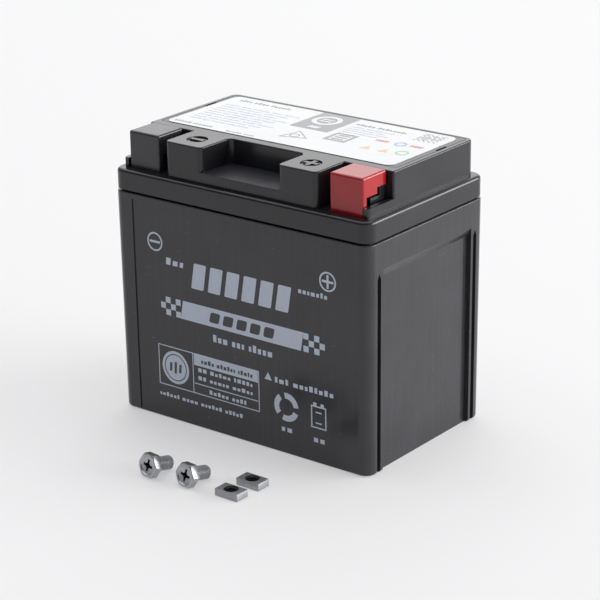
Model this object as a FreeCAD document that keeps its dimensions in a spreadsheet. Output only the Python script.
import FreeCAD, Part
import math
import os
import re

import Sketcher

# Six-cell 12 V motorcycle battery with loose terminal hardware. Millimetres, +Z up.
# The origin is the centre of the base, X runs along the long side, the terminals face -Y.

DIMENSIONS = {
    # Jar
    "case_width": 113.0,
    "case_depth": 70.0,
    "case_ledge": 83.7,
    "case_draft": 0.43,
    "case_corner": 4.2,
    "case_floor": 2.5,
    "end_wall": 3.2,
    "long_wall": 2.6,
    "cell_count": 6,
    "wall_between": 1.3,
    "tongue_inset": 1.5,
    "tongue_height": 3.4,
    "base_round": 1.3,
    "ledge_round": 0.3,
    # Moulded panels of the jar
    "front_panel_half": 47.7,
    "front_panel_top": 81.8,
    "front_panel_deep": 0.4,
    "end_panel_half": 26.4,
    "end_panel_deep": 1.7,
    "end_panel_top": 70.9,
    "end_panel_ramp": 3.2,
    "groove_centre": 28.7,
    "groove_wide": 2.0,
    "groove_deep": 1.3,
    # Cover
    "cover_bottom": 84.6,
    "flange_top": 92.0,
    "flange_round": 1.2,
    "cover_skin": 2.4,
    "socket_gap": 0.15,
    "block_half": 53.84,
    "block_front": 32.5,
    "block_back": 31.6,
    "block_top": 105.0,
    "block_corner": 3.0,
    "block_edge": 0.5,
    "shelf_back": 16.8,
    "shelf_round": 2.4,
    "sill_round": 0.8,
    "notch_inner": 33.4,
    "sill_top": 95.4,
    "sill_thick": 2.0,
    "sill_front": 31.2,
    "recess_half": 16.8,
    "recess_floor": 96.0,
    "horn_round": 2.0,
    # Gas gallery under the vent plate
    "plate_half": 52.1,
    "plate_front": 13.2,
    "plate_back": 30.2,
    "plate_thick": 2.0,
    "plate_corner": 1.8,
    "plate_gap": 0.15,
    "gallery_inset": 1.6,
    "gallery_floor": 95.5,
    "gallery_skin": 2.0,
    "valve_row": 8.5,
    "nozzle_radius": 3.2,
    "nozzle_bore": 1.3,
    "nozzle_top": 100.0,
    "guide_outer": 6.4,
    "guide_inner": 5.2,
    "guide_top": 98.5,
    "outlet_centre": 14.5,
    "outlet_half": 3.0,
    "outlet_deep": 1.0,
    "outlet_drop": 1.5,
    # Rubber valve cap
    "valve_inner": 3.3,
    "valve_outer": 4.6,
    "valve_roof": 1.8,
    "valve_skirt": 3.5,
    "presser_radius": 3.0,
    # Polarity marks
    "mark_centre": 25.1,
    "mark_row": 24.4,
    "mark_radius": 3.85,
    "mark_deep": 0.5,
    "mark_arm": 2.9,
    "mark_bar": 0.8,
    # Terminals and their pedestals
    "term_centre": 44.5,
    "term_half": 5.6,
    "term_thick": 1.5,
    "term_front": 29.6,
    "term_back": 18.8,
    "term_top": 101.5,
    "term_foot": 84.2,
    "foot_back": 22.0,
    "bolt_clear": 2.75,
    "bolt_radius": 2.5,
    "top_hole": 23.4,
    "front_hole": 96.1,
    "seat_half": 5.8,
    "pocket_half": 5.05,
    "pocket_slot": 2.9,
    "pocket_span": 6.4,
    "relief_deep": 5.0,
    "seal_half": 7.0,
    "seal_front": 30.8,
    "seal_thick": 1.2,
    # Protective terminal caps
    "cap_wide": 13.8,
    "cap_deep": 13.4,
    "cap_tall": 13.5,
    "cap_skin": 1.0,
    "cap_front": 30.9,
    "cap_lift": 0.05,
    "cap_round": 0.8,
    "cap_return": 2.0,
    "cap_step": 8.0,
    "cap_low": 6.4,
    "cap_high": 8.6,
    # Label
    "label_left": 50.2,
    "label_right": 49.4,
    "label_front": 12.4,
    "label_back": 28.6,
    "label_thick": 0.15,
    "label_corner": 3.0,
    # Plate groups
    "plate_low": 3.2,
    "plate_high": 70.0,
    "grid_half": 31.0,
    "grid_pitch": 4.8,
    "positive_thick": 2.0,
    "negative_thick": 1.4,
    "lug_centre": 22.0,
    "lug_half": 4.5,
    "strap_low": 74.0,
    "strap_high": 78.5,
    "strap_half": 5.5,
    "strap_side": 7.9,
    "riser_face": 8.15,
    "riser_thick": 2.0,
    "riser_top": 85.0,
    "weld_height": 80.5,
    "weld_radius": 3.5,
    "weld_hole": 3.7,
    "post_radius": 3.5,
    "post_row": 24.0,
    "felt_half": 31.6,
    "felt_high": 72.0,
    "felt_inner": 1.02,
    "felt_outer": 1.68,
    # M5 terminal screws
    "head_flats": 8.0,
    "head_high": 3.0,
    "head_chamfer": 0.5,
    "shank_long": 7.8,
    "shank_tip": 0.5,
    "dish_radius": 3.2,
    "dish_deep": 0.4,
    "cross_arm": 2.4,
    "cross_half": 0.55,
    "cross_deep": 1.8,
    # Terminal nuts
    "nut_long": 9.7,
    "nut_wide": 6.0,
    "nut_thick": 2.6,
    "nut_minor": 2.1,
    "nut_round": 0.35,
    "nut_chamfer": 0.45,
}

ALIAS = re.compile(r"\b[a-z]+_[a-z_]+\b")
VECTOR = FreeCAD.Vector
CELLS = range(1, 7)
WALLS = range(1, 6)

doc = FreeCAD.newDocument("motorcycle_battery")


# ---------------------------------------------------------------- helpers

def make_sheet():
    """Put every driving dimension in the spreadsheet, one alias per row."""
    dims = doc.addObject("Spreadsheet::Sheet", "Dims")
    for row, (alias, value) in enumerate(DIMENSIONS.items(), start=1):
        dims.set("A%d" % row, alias)
        dims.set("B%d" % row, str(value))
        dims.setAlias("B%d" % row, alias)
    derived = {
        "inner_half": "=case_width / 2 - case_draft - end_wall",
        "inner_deep": "=case_depth / 2 - case_draft - long_wall",
        "cell_wide": "=(2 * inner_half - (cell_count - 1) * wall_between) / cell_count",
        "cell_pitch": "=cell_wide + wall_between",
        "tongue_top": "=case_ledge + tongue_height",
    }
    for row, (alias, formula) in enumerate(derived.items(), start=len(DIMENSIONS) + 1):
        dims.set("A%d" % row, alias)
        dims.set("B%d" % row, formula)
        dims.setAlias("B%d" % row, alias)
    doc.recompute()
    return dims


def bind(owner, target, text):
    """Drive one property or constraint from an expression in spreadsheet aliases."""
    owner.setExpression(target, ALIAS.sub(lambda word: "Dims." + word.group(0), str(text)))


def new_body(label, x=0, y=0, z=0):
    """Start a named body whose origin stands at x, y, z."""
    body = doc.addObject("PartDesign::Body", label)
    body.Label = label
    body.AllowCompound = True
    for axis, text in zip("xyz", (x, y, z)):
        bind(body, "Placement.Base." + axis, text)
    return body


def new_sketch(body, plane, offset=0):
    """Add a sketch parallel to one of the body's origin planes."""
    sketch = body.newObject("Sketcher::SketchObject", body.Name + "_sketch")
    support = [item for item in body.Origin.OriginFeatures if item.Role == plane][0]
    sketch.AttachmentSupport = [(support, "")]
    sketch.MapMode = "FlatFace"
    bind(sketch, "AttachmentOffset.Base.z", offset)
    return sketch


def outline(sketch, corners):
    """Draw a closed polygon and fix each corner by its two coordinates."""
    count = len(corners)
    turn = 2 * math.pi / count
    seeds = [VECTOR(math.cos(turn * i), math.sin(turn * i), 0) for i in range(count)]
    first = sketch.GeometryCount
    for i in range(count):
        sketch.addGeometry(Part.LineSegment(seeds[i], seeds[(i + 1) % count]), False)
    for i in range(count):
        ends = (first + i, 2, first + (i + 1) % count, 1)
        sketch.addConstraint(Sketcher.Constraint("Coincident", *ends))
    for i, corner in enumerate(corners):
        for kind, text in zip(("DistanceX", "DistanceY"), corner):
            index = sketch.addConstraint(Sketcher.Constraint(kind, -1, 1, first + i, 1, 1.0))
            bind(sketch, "Constraints[%d]" % index, text)


def rectangle(sketch, left, low, right, high):
    """Draw a rectangle from its four sides."""
    outline(sketch, [(left, low), (right, low), (right, high), (left, high)])


def circle(sketch, x, y, radius):
    """Draw a circle fixed by its centre and radius."""
    index = sketch.addGeometry(Part.Circle(VECTOR(0, 0, 0), VECTOR(0, 0, 1), 1.0), False)
    dims = (("DistanceX", x), ("DistanceY", y))
    for kind, text in dims:
        number = sketch.addConstraint(Sketcher.Constraint(kind, -1, 1, index, 3, 1.0))
        bind(sketch, "Constraints[%d]" % number, text)
    number = sketch.addConstraint(Sketcher.Constraint("Radius", index, 1.0))
    bind(sketch, "Constraints[%d]" % number, radius)


def extrude(body, kind, sketch, length, symmetric=False, flip=False, taper=None):
    """Pad or pocket a sketch and make the result the body's tip."""
    feature = body.newObject("PartDesign::" + kind, body.Name + "_" + kind.lower())
    feature.Profile = sketch
    bind(feature, "Length", length)
    feature.Reversed = flip
    if symmetric:
        feature.SideType = "Symmetric"
    if taper is not None:
        bind(feature, "TaperAngle", taper)
    sketch.Visibility = False
    body.Tip = feature
    doc.recompute()
    return feature


def revolve(body, kind, sketch):
    """Revolve or groove a sketch a full turn about the body's Z axis."""
    feature = body.newObject("PartDesign::" + kind, body.Name + "_" + kind.lower())
    feature.Profile = sketch
    axis = [item for item in body.Origin.OriginFeatures if item.Role == "Z_Axis"][0]
    feature.ReferenceAxis = (axis, [""])
    feature.Angle = 360
    body.Tip = feature
    doc.recompute()
    return feature


def soften(body, kind, size, pick):
    """Fillet or chamfer the edges of the tip that pick accepts."""
    base = body.Tip
    names = ["Edge%d" % i for i, edge in enumerate(base.Shape.Edges, start=1) if pick(edge.BoundBox)]
    feature = body.newObject("PartDesign::" + kind, body.Name + "_" + kind.lower())
    feature.Base = (base, names)
    bind(feature, "Radius" if kind == "Fillet" else "Size", size)
    body.Tip = feature
    doc.recompute()
    return feature


def repeat(body, originals, axis_role, pitch, count):
    """Repeat features in a row along one of the body's axes, starting at the first."""
    pattern = body.newObject("PartDesign::LinearPattern", body.Name + "_row")
    pattern.Originals = originals
    axis = [item for item in body.Origin.OriginFeatures if item.Role == axis_role][0]
    pattern.Direction = (axis, [""])
    pattern.Mode = "Spacing"
    bind(pattern, "Offset", pitch)
    bind(pattern, "Occurrences", count)
    body.Tip = pattern
    doc.recompute()
    return pattern


def flat_at(height):
    """Pick edges that lie in the horizontal plane at this height."""
    return lambda box: abs(box.ZMin - height) < 0.01 and abs(box.ZMax - height) < 0.01


def upright_at(spots, reach=0.6):
    """Pick near-vertical edges that stand at one of these plan positions."""
    def pick(box):
        if box.ZLength < 1.0 or max(box.XLength, box.YLength) > reach:
            return False
        return any(math.hypot(box.Center.x - x, box.Center.y - y) < reach for x, y in spots)
    return pick


def value(alias):
    """Read one number back from the spreadsheet."""
    return float(sheet.get(alias))


def corners_of(half_x, low_y, high_y):
    """List the plan corners of a rectangle centred on x = 0."""
    return [(x, y) for x in (-half_x, half_x) for y in (low_y, high_y)]


def cross_corners(x, y, arm, half):
    """List the twelve corners of an upright cross around x, y."""
    corners = []
    for turn in range(4):
        for along, across in ((arm, "-" + half), (arm, half), (half, half)):
            dx, dy = along, across
            for _ in range(turn):
                dx, dy = "-1 * (%s)" % dy, dx
            corners.append(("%s + (%s)" % (x, dx), "%s + (%s)" % (y, dy)))
    return corners


def cell_x(cell):
    """Give the centre of a cell along X as an expression."""
    return "(%d - 3.5) * cell_pitch" % cell


# ---------------------------------------------------------------- jar

def make_case():
    """Drafted jar with six cells, a joint tongue and sunk panels on all four sides."""
    body = new_body("case")
    base = new_sketch(body, "XY_Plane")
    half_x = "case_width / 2 - case_draft"
    half_y = "case_depth / 2 - case_draft"
    rectangle(base, "-(%s)" % half_x, "-(%s)" % half_y, half_x, half_y)
    extrude(body, "Pad", base, "case_ledge", taper="atan(case_draft / case_ledge)")
    shrink = value("case_width") / 2 - value("case_draft") / 2
    depth = value("case_depth") / 2 - value("case_draft") / 2
    soften(body, "Fillet", "case_corner", upright_at(corners_of(shrink, -depth, depth)))
    soften(body, "Fillet", "base_round", flat_at(0))
    soften(body, "Fillet", "ledge_round", flat_at(value("case_ledge")))

    tongue = new_sketch(body, "XY_Plane", "case_ledge")
    half_x = "case_width / 2 - tongue_inset"
    half_y = "case_depth / 2 - tongue_inset"
    rectangle(tongue, "-(%s)" % half_x, "-(%s)" % half_y, half_x, half_y)
    extrude(body, "Pad", tongue, "tongue_height")
    spots = corners_of(value("case_width") / 2 - value("tongue_inset"),
                       value("tongue_inset") - value("case_depth") / 2,
                       value("case_depth") / 2 - value("tongue_inset"))
    soften(body, "Fillet", "case_corner - tongue_inset", upright_at(spots, 0.05))

    cell = new_sketch(body, "XY_Plane", "tongue_top")
    rectangle(cell, "-inner_half", "-inner_deep", "cell_wide - inner_half", "inner_deep")
    well = extrude(body, "Pocket", cell, "tongue_top - case_floor")
    repeat(body, [well], "X_Axis", "cell_pitch", "cell_count")

    cut_weld_holes(body)
    cut_front_panels(body)
    cut_end_panels(body)
    return body


def cut_weld_holes(body):
    """Bore the wall between neighbouring cells where their straps are welded."""
    for wall in WALLS:
        hole = new_sketch(body, "YZ_Plane", "(%d - 3) * cell_pitch" % wall)
        circle(hole, "%d * lug_centre" % weld_side(wall), "weld_height", "weld_hole")
        extrude(body, "Pocket", hole, "wall_between + 0.6", symmetric=True)


def cut_front_panels(body):
    """Sink the two long faces by a hair inside a border, open at the bottom."""
    profile = new_sketch(body, "YZ_Plane")
    low = "case_depth / 2 - case_draft - front_panel_deep"
    high = "case_depth / 2 - front_panel_deep"
    for sign in (-1, 1):
        outline(profile, [("%d * (%s)" % (sign, low), "-1"),
                          ("%d * (%s)" % (sign, high), "front_panel_top"),
                          ("%d * (case_depth / 2 + 1)" % sign, "front_panel_top"),
                          ("%d * (case_depth / 2 + 1)" % sign, "-1")])
    extrude(body, "Pocket", profile, "2 * front_panel_half", symmetric=True)


def cut_end_panels(body):
    """Sink the two end faces with a ramped top, and run a groove down each side of them."""
    profile = new_sketch(body, "XZ_Plane")
    low = "case_width / 2 - case_draft - end_panel_deep"
    high = "case_width / 2 - end_panel_deep"
    for sign in (-1, 1):
        outline(profile, [("%d * (%s)" % (sign, low), "-1"),
                          ("%d * (%s)" % (sign, high), "end_panel_top"),
                          ("%d * (case_width / 2)" % sign, "end_panel_top + end_panel_ramp"),
                          ("%d * (case_width / 2 + 1)" % sign, "end_panel_top + end_panel_ramp"),
                          ("%d * (case_width / 2 + 1)" % sign, "-1")])
    extrude(body, "Pocket", profile, "2 * end_panel_half", symmetric=True)
    for end, flip in ((-1, False), (1, True)):
        groove = new_sketch(body, "YZ_Plane", "%d * (case_width / 2 - case_draft - groove_deep)" % end)
        for side in (-1, 1):
            centre = "%d * groove_centre" % side
            outline(groove, [(centre + " - groove_wide / 2", "-1"),
                             (centre + " + groove_wide / 2", "-1"),
                             (centre + " + groove_wide / 2", "end_panel_top"),
                             (centre, "end_panel_top + groove_wide"),
                             (centre + " - groove_wide / 2", "end_panel_top")])
        extrude(body, "Pocket", groove, "groove_deep + 2", flip=flip)


# ---------------------------------------------------------------- cover

def make_cover():
    """Stepped cover: flange, raised block with terminal shelves, gas gallery and seats."""
    body = new_body("cover")
    flange = new_sketch(body, "XY_Plane", "cover_bottom")
    rectangle(flange, "-case_width / 2", "-case_depth / 2", "case_width / 2", "case_depth / 2")
    extrude(body, "Pad", flange, "flange_top - cover_bottom")
    half = value("case_depth") / 2
    soften(body, "Fillet", "case_corner + case_draft",
           upright_at(corners_of(value("case_width") / 2, -half, half), 0.05))
    soften(body, "Fillet", "flange_round", flat_at(value("flange_top")))

    block = new_sketch(body, "XY_Plane", "flange_top")
    rectangle(block, "-block_half", "-block_front", "block_half", "block_back")
    extrude(body, "Pad", block, "block_top - flange_top")
    spots = corners_of(value("block_half"), -value("block_front"), value("block_back"))
    soften(body, "Fillet", "block_corner", upright_at(spots, 0.05))

    cut_front_recess(body)
    cut_terminal_shelves(body)
    round_horns(body)
    add_terminal_seats(body)
    cut_gas_gallery(body)
    cut_underside(body)
    cut_polarity_marks(body)
    return body


def cut_front_recess(body):
    """Open the middle of the front between the two polarity blocks."""
    recess = new_sketch(body, "XY_Plane", "block_top")
    rectangle(recess, "-recess_half", "-case_depth / 2 - 1", "recess_half", "-shelf_back")
    extrude(body, "Pocket", recess, "block_top - recess_floor")


def cut_terminal_shelves(body):
    """Open a shelf at each front corner, leaving a low sill along the outer side."""
    upper = new_sketch(body, "XY_Plane", "block_top")
    for sign in (-1, 1):
        rectangle(upper, "%d * notch_inner" % sign, "-case_depth / 2 - 1",
                  "%d * (case_width / 2 + 1)" % sign, "-shelf_back")
    extrude(body, "Pocket", upper, "block_top - sill_top")
    lower = new_sketch(body, "XY_Plane", "sill_top")
    for sign in (-1, 1):
        outline(lower, [("%d * notch_inner" % sign, "-case_depth / 2 - 1"),
                        ("%d * (case_width / 2 + 1)" % sign, "-case_depth / 2 - 1"),
                        ("%d * (case_width / 2 + 1)" % sign, "-sill_front"),
                        ("%d * (block_half - sill_thick)" % sign, "-sill_front"),
                        ("%d * (block_half - sill_thick)" % sign, "-shelf_back"),
                        ("%d * notch_inner" % sign, "-shelf_back")])
    extrude(body, "Pocket", lower, "sill_top - flange_top")


def round_horns(body):
    """Round the upright edges of the polarity blocks, shelves and recess."""
    front = -value("block_front")
    back = -value("shelf_back")
    recess = value("recess_half")
    notch = value("notch_inner")
    block = value("block_half")
    horns = [(sign * x, front) for sign in (-1, 1) for x in (recess, notch)]
    soften(body, "Fillet", "horn_round", upright_at(horns, 0.05))
    inner = [(sign * recess, back) for sign in (-1, 1)]
    soften(body, "Fillet", "shelf_round", upright_at(inner, 0.05))
    outer = [(sign * block, back) for sign in (-1, 1)]
    soften(body, "Fillet", "sill_round", upright_at(outer, 0.05))
    soften(body, "Fillet", "block_edge", flat_at(value("block_top")))


def add_terminal_seats(body):
    """Raise a seat for each terminal, with nut pockets open to the outer side."""
    seats = new_sketch(body, "XY_Plane", "flange_top")
    for sign in (-1, 1):
        rectangle(seats, "%d * term_centre - seat_half" % sign, "term_thick - term_front",
                  "%d * term_centre + seat_half" % sign, "-shelf_back")
    extrude(body, "Pad", seats, "term_top - term_thick - flange_top")

    upper = new_sketch(body, "XY_Plane", "term_top - term_thick")
    front = new_sketch(body, "XZ_Plane", "term_front - term_thick")
    for sign in (-1, 1):
        inner = "%d * (term_centre - pocket_half)" % sign
        outer = "%d * (term_centre + seat_half + 0.5)" % sign
        rectangle(upper, inner, "-top_hole - pocket_span / 2", outer, "pocket_span / 2 - top_hole")
        rectangle(front, inner, "front_hole - pocket_span / 2", outer, "front_hole + pocket_span / 2")
    extrude(body, "Pocket", upper, "pocket_slot")
    extrude(body, "Pocket", front, "pocket_slot")

    upper = new_sketch(body, "XY_Plane", "term_top - term_thick")
    front = new_sketch(body, "XZ_Plane", "term_front - term_thick")
    for sign in (-1, 1):
        circle(upper, "%d * term_centre" % sign, "-top_hole", "bolt_clear")
        circle(front, "%d * term_centre" % sign, "front_hole", "bolt_clear")
    extrude(body, "Pocket", upper, "pocket_slot + relief_deep - 1")
    extrude(body, "Pocket", front, "pocket_slot + relief_deep")

    well = new_sketch(body, "XY_Plane", "flange_top")
    slot = new_sketch(body, "XY_Plane", "flange_top")
    for sign in (-1, 1):
        centre = "%d * term_centre" % sign
        rectangle(well, centre + " - seal_half", "-seal_front", centre + " + seal_half",
                  "term_thick - term_front")
        rectangle(slot, centre + " - term_half - 0.1", "-term_front - 0.1",
                  centre + " + term_half + 0.1", "term_thick - term_front + 0.1")
    extrude(body, "Pocket", well, "seal_thick")
    extrude(body, "Pocket", slot, "cover_skin + 0.5")


def cut_gas_gallery(body):
    """Sink the vent plate's seat and the gallery, with a nozzle and guide for each valve."""
    seat = new_sketch(body, "XY_Plane", "block_top")
    rectangle(seat, "-plate_half", "-plate_front", "plate_half", "plate_back")
    extrude(body, "Pocket", seat, "plate_thick")
    spots = corners_of(value("plate_half"), -value("plate_front"), value("plate_back"))
    soften(body, "Fillet", "plate_corner", upright_at(spots, 0.05))

    gallery = new_sketch(body, "XY_Plane", "block_top - plate_thick")
    rectangle(gallery, "gallery_inset - plate_half", "gallery_inset - plate_front",
              "plate_half - gallery_inset", "plate_back - gallery_inset")
    extrude(body, "Pocket", gallery, "block_top - plate_thick - gallery_floor")

    outlet = new_sketch(body, "XY_Plane", "block_top - plate_thick")
    for sign in (-1, 1):
        rectangle(outlet, "%d * (plate_half - gallery_inset - 0.5)" % sign, "outlet_centre - outlet_half",
                  "%d * plate_half" % sign, "outlet_centre + outlet_half")
    extrude(body, "Pocket", outlet, "outlet_drop")

    nozzle = new_sketch(body, "XY_Plane", "gallery_floor")
    circle(nozzle, cell_x(1), "valve_row", "nozzle_radius")
    guide = new_sketch(body, "XY_Plane", "gallery_floor")
    circle(guide, cell_x(1), "valve_row", "guide_outer")
    circle(guide, cell_x(1), "valve_row", "guide_inner")
    posts = [extrude(body, "Pad", nozzle, "nozzle_top - gallery_floor"),
             extrude(body, "Pad", guide, "guide_top - gallery_floor")]
    repeat(body, posts, "X_Axis", "cell_pitch", "cell_count")
    bore = new_sketch(body, "XY_Plane", "nozzle_top")
    circle(bore, cell_x(1), "valve_row", "nozzle_bore")
    drilled = extrude(body, "Pocket", bore, "nozzle_top - gallery_floor + gallery_skin + 1")
    repeat(body, [drilled], "X_Axis", "cell_pitch", "cell_count")


def cut_underside(body):
    """Hollow the cover from below: joint socket, one head space per cell, lighter blocks."""
    socket = new_sketch(body, "XY_Plane", "cover_bottom")
    half_x = "case_width / 2 - tongue_inset + socket_gap"
    half_y = "case_depth / 2 - tongue_inset + socket_gap"
    rectangle(socket, "-(%s)" % half_x, "-(%s)" % half_y, half_x, half_y)
    extrude(body, "Pocket", socket, "tongue_top - cover_bottom", flip=True)

    head = new_sketch(body, "XY_Plane", "tongue_top")
    rectangle(head, "-inner_half", "-inner_deep", "cell_wide - inner_half", "inner_deep")
    room = extrude(body, "Pocket", head, "flange_top - cover_skin - tongue_top", flip=True)
    repeat(body, [room], "X_Axis", "cell_pitch", "cell_count")

    throat = new_sketch(body, "XY_Plane", "flange_top - cover_skin")
    centre = cell_x(1)
    rectangle(throat, centre + " - cell_wide / 2 + 1.3", "2 - shelf_back",
              centre + " + cell_wide / 2 - 1.3", "plate_back - gallery_inset")
    room = extrude(body, "Pocket", throat,
                   "gallery_floor - gallery_skin - flange_top + cover_skin", flip=True)
    repeat(body, [room], "X_Axis", "cell_pitch", "cell_count")

    horn = new_sketch(body, "XY_Plane", "flange_top - cover_skin")
    middle = new_sketch(body, "XY_Plane", "flange_top - cover_skin")
    for sign in (-1, 1):
        rectangle(horn, "%d * (recess_half + 2.1)" % sign, "2 - block_front",
                  "%d * (notch_inner - 2)" % sign, "-shelf_back - 2")
        rectangle(middle, "%d * 2" % sign, "2 - block_front", "%d * (recess_half - 2)" % sign,
                  "-shelf_back - 2")
    extrude(body, "Pocket", horn, "block_top - 2 - flange_top + cover_skin", flip=True)
    extrude(body, "Pocket", middle, "recess_floor - 2 - flange_top + cover_skin", flip=True)


def cut_polarity_marks(body):
    """Sink a disc in each front block, leaving a minus and a plus standing in it."""
    marks = new_sketch(body, "XY_Plane", "block_top")
    row = "-mark_row"
    circle(marks, "-mark_centre", row, "mark_radius")
    rectangle(marks, "-mark_centre - mark_arm", row + " - mark_bar", "mark_arm - mark_centre",
              row + " + mark_bar")
    circle(marks, "mark_centre", row, "mark_radius")
    outline(marks, cross_corners("mark_centre", row, "mark_arm", "mark_bar"))
    extrude(body, "Pocket", marks, "mark_deep")


# ---------------------------------------------------------------- vent plate, valves, label

def make_vent_plate():
    """Welded plate that closes the gallery, with a gas notch at each end and six pressers."""
    body = new_body("vent_plate")
    plate = new_sketch(body, "XY_Plane", "block_top - plate_thick")
    rectangle(plate, "plate_gap - plate_half", "plate_gap - plate_front",
              "plate_half - plate_gap", "plate_back - plate_gap")
    extrude(body, "Pad", plate, "plate_thick")
    spots = corners_of(value("plate_half") - value("plate_gap"),
                       value("plate_gap") - value("plate_front"),
                       value("plate_back") - value("plate_gap"))
    soften(body, "Fillet", "plate_corner - plate_gap", upright_at(spots, 0.05))
    soften(body, "Fillet", "0.25", flat_at(value("block_top")))

    notch = new_sketch(body, "XY_Plane", "block_top")
    for sign in (-1, 1):
        rectangle(notch, "%d * (plate_half - plate_gap - outlet_deep)" % sign, "outlet_centre - outlet_half",
                  "%d * (plate_half + 1)" % sign, "outlet_centre + outlet_half")
    extrude(body, "Pocket", notch, "plate_thick + 0.5")

    boss = new_sketch(body, "XY_Plane", "block_top - plate_thick")
    circle(boss, cell_x(1), "valve_row", "presser_radius")
    drop = "block_top - plate_thick - nozzle_top - valve_roof - 0.1"
    presser = extrude(body, "Pad", boss, drop, flip=True)
    repeat(body, [presser], "X_Axis", "cell_pitch", "cell_count")
    return body


def make_vent_valve(cell):
    """Rubber cup that sits over one nozzle and lifts its skirt to let gas out."""
    body = new_body("vent_valve_%d" % cell, cell_x(cell), "valve_row", "nozzle_top")
    section = new_sketch(body, "XZ_Plane")
    outline(section, [("0", "0"), ("valve_inner", "0"), ("valve_inner", "-valve_skirt"),
                      ("valve_outer", "-valve_skirt"), ("valve_outer", "valve_roof - 0.4"),
                      ("valve_outer - 0.4", "valve_roof"), ("0", "valve_roof")])
    revolve(body, "Revolution", section)
    return body


def make_top_label():
    """Thin adhesive label on the vent plate."""
    body = new_body("top_label")
    sheet_outline = new_sketch(body, "XY_Plane", "block_top")
    rectangle(sheet_outline, "-label_left", "-label_front", "label_right", "label_back")
    extrude(body, "Pad", sheet_outline, "label_thick")
    spots = [(x, y) for x in (-value("label_left"), value("label_right"))
             for y in (-value("label_front"), value("label_back"))]
    names = lambda box: box.ZLength > 0.1 and box.XLength < 0.01 and box.YLength < 0.01 and any(
        math.hypot(box.Center.x - x, box.Center.y - y) < 0.05 for x, y in spots)
    soften(body, "Fillet", "label_corner", names)
    return body


# ---------------------------------------------------------------- terminals

def make_terminal(label, sign):
    """Folded strip: top tab and front tab with bolt holes, and a foot inside the cover."""
    body = new_body(label, "%d * term_centre" % sign)
    strip = new_sketch(body, "YZ_Plane")
    outline(strip, [("-term_front", "term_foot"), ("-term_front", "term_top"), ("-term_back", "term_top"),
                    ("-term_back", "term_top - term_thick"),
                    ("term_thick - term_front", "term_top - term_thick"),
                    ("term_thick - term_front", "term_foot + term_thick"),
                    ("-foot_back", "term_foot + term_thick"), ("-foot_back", "term_foot")])
    extrude(body, "Pad", strip, "2 * term_half", symmetric=True)
    front = -value("term_front")
    tops = (value("term_top"), value("term_foot"))
    bend = lambda box: box.XLength > 5 and abs(box.Center.y - front) < 0.01 and any(
        abs(box.Center.z - z) < 0.01 for z in tops)
    soften(body, "Fillet", "term_thick", bend)
    upper = new_sketch(body, "XY_Plane", "term_top")
    circle(upper, "0", "-top_hole", "bolt_clear")
    extrude(body, "Pocket", upper, "term_thick + 0.2")
    face = new_sketch(body, "XZ_Plane", "term_front")
    circle(face, "0", "front_hole", "bolt_clear")
    extrude(body, "Pocket", face, "term_thick + 0.2")
    return body


def make_terminal_seal(label, sign):
    """Potting ring that seals the terminal's leg where it passes through the cover."""
    body = new_body(label, "%d * term_centre" % sign)
    ring = new_sketch(body, "XY_Plane", "flange_top - seal_thick")
    back = "term_thick - term_front"
    outline(ring, [("-seal_half", "-seal_front"), ("seal_half", "-seal_front"), ("seal_half", back),
                   ("term_half", back), ("term_half", "-term_front"), ("-term_half", "-term_front"),
                   ("-term_half", back), ("-seal_half", back)])
    extrude(body, "Pad", ring, "seal_thick")
    return body


def make_terminal_cap(label, sign):
    """Moulded cover that drops over a terminal: full front wall, stepped sides, open base."""
    body = new_body(label, "%d * term_centre" % sign, "-cap_front", "flange_top + cap_lift")
    shell = new_sketch(body, "XY_Plane")
    rectangle(shell, "-cap_wide / 2", "0", "cap_wide / 2", "cap_deep")
    extrude(body, "Pad", shell, "cap_tall")
    half = value("cap_wide") / 2
    outer = upright_at(corners_of(half, 0, value("cap_deep")), 0.05)
    roof = flat_at(value("cap_tall"))
    soften(body, "Fillet", "cap_round", lambda box: outer(box) or roof(box))
    room = new_sketch(body, "XY_Plane")
    rectangle(room, "cap_skin - cap_wide / 2", "cap_skin", "cap_wide / 2 - cap_skin", "cap_deep - cap_skin")
    extrude(body, "Pocket", room, "cap_tall - cap_skin", flip=True)
    step = new_sketch(body, "YZ_Plane")
    outline(step, [("cap_return", "-1"), ("cap_return", "cap_low"), ("cap_step", "cap_low"),
                   ("cap_step", "cap_high"), ("cap_deep + 1", "cap_high"), ("cap_deep + 1", "-1")])
    extrude(body, "Pocket", step, "cap_wide + 2", symmetric=True)
    return body


# ---------------------------------------------------------------- plate groups

def weld_side(wall):
    """Odd walls are welded through at the back, even ones at the front."""
    return 1 if wall % 2 else -1


def lug_side(cell, positive):
    """Find the side of a cell where a group's lugs stand: -1 front, +1 back."""
    if positive:
        return weld_side(cell) if cell < 6 else -1
    return weld_side(cell - 1) if cell > 1 else -1


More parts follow.
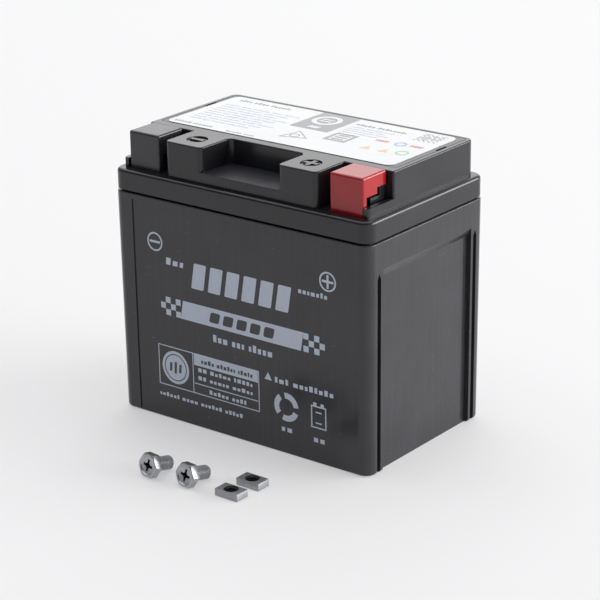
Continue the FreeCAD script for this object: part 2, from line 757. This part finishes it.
def make_plate_group(cell, positive):
    """Row of grids with lugs, joined by a cast strap and its riser or terminal post."""
    name = "positive" if positive else "negative"
    side = lug_side(cell, positive)
    ends = cell == (6 if positive else 1)
    reach = 1 if positive else -1
    count = 3 if positive else 4
    thick = name + "_thick"
    first = "-%s * grid_pitch" % ((count - 1) / 2)
    body = new_body("%s_plates_cell_%d" % (name, cell), cell_x(cell))

    grid = new_sketch(body, "XY_Plane", "plate_low")
    rectangle(grid, first + " - %s / 2" % thick, "-grid_half", first + " + %s / 2" % thick, "grid_half")
    plate = extrude(body, "Pad", grid, "plate_high - plate_low")
    tab = new_sketch(body, "XY_Plane", "plate_high")
    middle = "%d * lug_centre" % side
    rectangle(tab, first + " - %s / 2" % thick, middle + " - lug_half", first + " + %s / 2" % thick,
              middle + " + lug_half")
    lug = extrude(body, "Pad", tab, "strap_low - plate_high + 1")
    repeat(body, [plate, lug], "X_Axis", "grid_pitch", count)

    strap = new_sketch(body, "XY_Plane", "strap_low")
    near = "-%d * strap_side" % reach
    far = "%d * riser_face" % reach if not ends else "%d * strap_side" % reach
    rectangle(strap, near, middle + " - strap_half", far, middle + " + strap_half")
    extrude(body, "Pad", strap, "strap_high - strap_low")
    if ends:
        post = new_sketch(body, "XY_Plane", "strap_high")
        circle(post, "0", "-post_row", "post_radius")
        extrude(body, "Pad", post, "term_foot - strap_high")
    else:
        riser = new_sketch(body, "XY_Plane", "strap_high")
        rectangle(riser, "%d * (riser_face - riser_thick)" % reach, middle + " - strap_half", far,
                  middle + " + strap_half")
        extrude(body, "Pad", riser, "riser_top - strap_high")
    return body


def make_separators(cell):
    """Glass-fibre felt folded up both sides of each positive grid."""
    body = new_body("separators_cell_%d" % cell, cell_x(cell))
    fold = new_sketch(body, "XZ_Plane")
    for place in (-1, 0, 1):
        centre = "%d * grid_pitch" % place
        outline(fold, [(centre + " - felt_outer", "case_floor"), (centre + " + felt_outer", "case_floor"),
                       (centre + " + felt_outer", "felt_high"), (centre + " + felt_inner", "felt_high"),
                       (centre + " + felt_inner", "plate_low"), (centre + " - felt_inner", "plate_low"),
                       (centre + " - felt_inner", "felt_high"), (centre + " - felt_outer", "felt_high")])
    extrude(body, "Pad", fold, "2 * felt_half", symmetric=True)
    return body


def make_intercell_connector(wall):
    """Weld slug that joins two straps through the wall between their cells."""
    body = new_body("intercell_connector_%d" % wall, "(%d - 3) * cell_pitch" % wall,
                    "%d * lug_centre" % weld_side(wall), "weld_height")
    slug = new_sketch(body, "YZ_Plane")
    circle(slug, "0", "0", "weld_radius")
    extrude(body, "Pad", slug, "cell_pitch - 2 * riser_face", symmetric=True)
    return body


# ---------------------------------------------------------------- loose hardware

def make_screw(label, x, y, heading):
    """M5 hexagon-head cross-recess screw lying on the floor, resting on head and tip."""
    lean = "atan((head_flats / 2 - bolt_radius) / (shank_long - shank_tip))"
    body = new_body(label, x, y, "head_high * sin(%s) + head_flats / 2 * cos(%s)" % (lean, lean))
    head = new_sketch(body, "XY_Plane")
    side = "head_flats / sqrt(3)"
    outline(head, [(side, "0"), (side + " / 2", "head_flats / 2"),
                   ("-%s / 2" % side, "head_flats / 2"), ("-" + side, "0"),
                   ("-%s / 2" % side, "-head_flats / 2"), (side + " / 2", "-head_flats / 2")])
    extrude(body, "Pad", head, "head_high")
    bevel = new_sketch(body, "XZ_Plane")
    outline(bevel, [("head_flats / 2 - head_chamfer / 2", "-0.01"), ("head_flats", "-0.01"),
                    ("head_flats", "(head_flats / 2 + head_chamfer / 2) * head_chamfer")])
    revolve(body, "Groove", bevel)
    dish = new_sketch(body, "XY_Plane")
    circle(dish, "0", "0", "dish_radius")
    extrude(body, "Pocket", dish, "dish_deep", flip=True)
    cross = new_sketch(body, "XY_Plane")
    outline(cross, cross_corners("0", "0", "cross_arm", "cross_half"))
    extrude(body, "Pocket", cross, "cross_deep", flip=True)
    shank = new_sketch(body, "XY_Plane", "head_high")
    circle(shank, "0", "0", "bolt_radius")
    extrude(body, "Pad", shank, "shank_long")
    soften(body, "Chamfer", "shank_tip", flat_at(value("head_high") + value("shank_long")))

    drop = value("head_flats") / 2 - value("bolt_radius")
    fall = math.atan2(drop, value("shank_long") - value("shank_tip"))
    turn = FreeCAD.Rotation(-heading, 0, -90 - math.degrees(fall))
    body.Placement = FreeCAD.Placement(body.Placement.Base, turn)
    return body


def make_nut(label, x, y):
    """Rectangular M5 nut that slides into the pocket under a terminal tab."""
    body = new_body(label, x, y)
    block = new_sketch(body, "XY_Plane")
    rectangle(block, "-nut_long / 2", "-nut_wide / 2", "nut_long / 2", "nut_wide / 2")
    extrude(body, "Pad", block, "nut_thick")
    half = value("nut_wide") / 2
    soften(body, "Fillet", "nut_round", upright_at(corners_of(value("nut_long") / 2, -half, half), 0.05))
    hole = new_sketch(body, "XY_Plane", "nut_thick")
    circle(hole, "0", "0", "nut_minor")
    extrude(body, "Pocket", hole, "nut_thick + 0.5")
    bore = lambda box: box.ZLength < 0.01 and abs(box.XLength - 2 * value("nut_minor")) < 0.01
    soften(body, "Chamfer", "nut_chamfer", bore)
    return body


# ---------------------------------------------------------------- assembly and export

def build():
    """Make every sub-part in the order it goes together."""
    parts = [make_case()]
    for cell in CELLS:
        parts.append(make_separators(cell))
        parts.append(make_plate_group(cell, True))
        parts.append(make_plate_group(cell, False))
    parts += [make_intercell_connector(wall) for wall in WALLS]
    parts.append(make_cover())
    for polarity, sign in (("positive", 1), ("negative", -1)):
        parts.append(make_terminal(polarity + "_terminal", sign))
        parts.append(make_terminal_seal(polarity + "_terminal_seal", sign))
        parts.append(make_terminal_cap(polarity + "_terminal_cap", sign))
    parts += [make_vent_valve(cell) for cell in CELLS]
    parts += [make_vent_plate(), make_top_label()]
    parts.append(make_screw("screw_1", -6.3, -78.0, 6.5))
    parts.append(make_screw("screw_2", 9.3, -76.6, 6.0))
    parts.append(make_nut("nut_1", 26.3, -72.3))
    parts.append(make_nut("nut_2", 26.8, -61.5))
    return parts


def export(parts):
    """Check the finished model and write one STEP file per sub-part."""
    doc.recompute()
    broken = [item.Name for item in doc.Objects if "Invalid" in item.State or "Error" in item.State]
    if broken:
        raise RuntimeError("features that did not build: " + ", ".join(broken))
    os.makedirs("parts", exist_ok=True)
    for part in parts:
        if part.Shape.isNull() or not part.Shape.isValid():
            raise RuntimeError("no valid solid in " + part.Label)
        part.Shape.exportStep(os.path.join("parts", part.Label + ".step"))


sheet = make_sheet()
export(build())
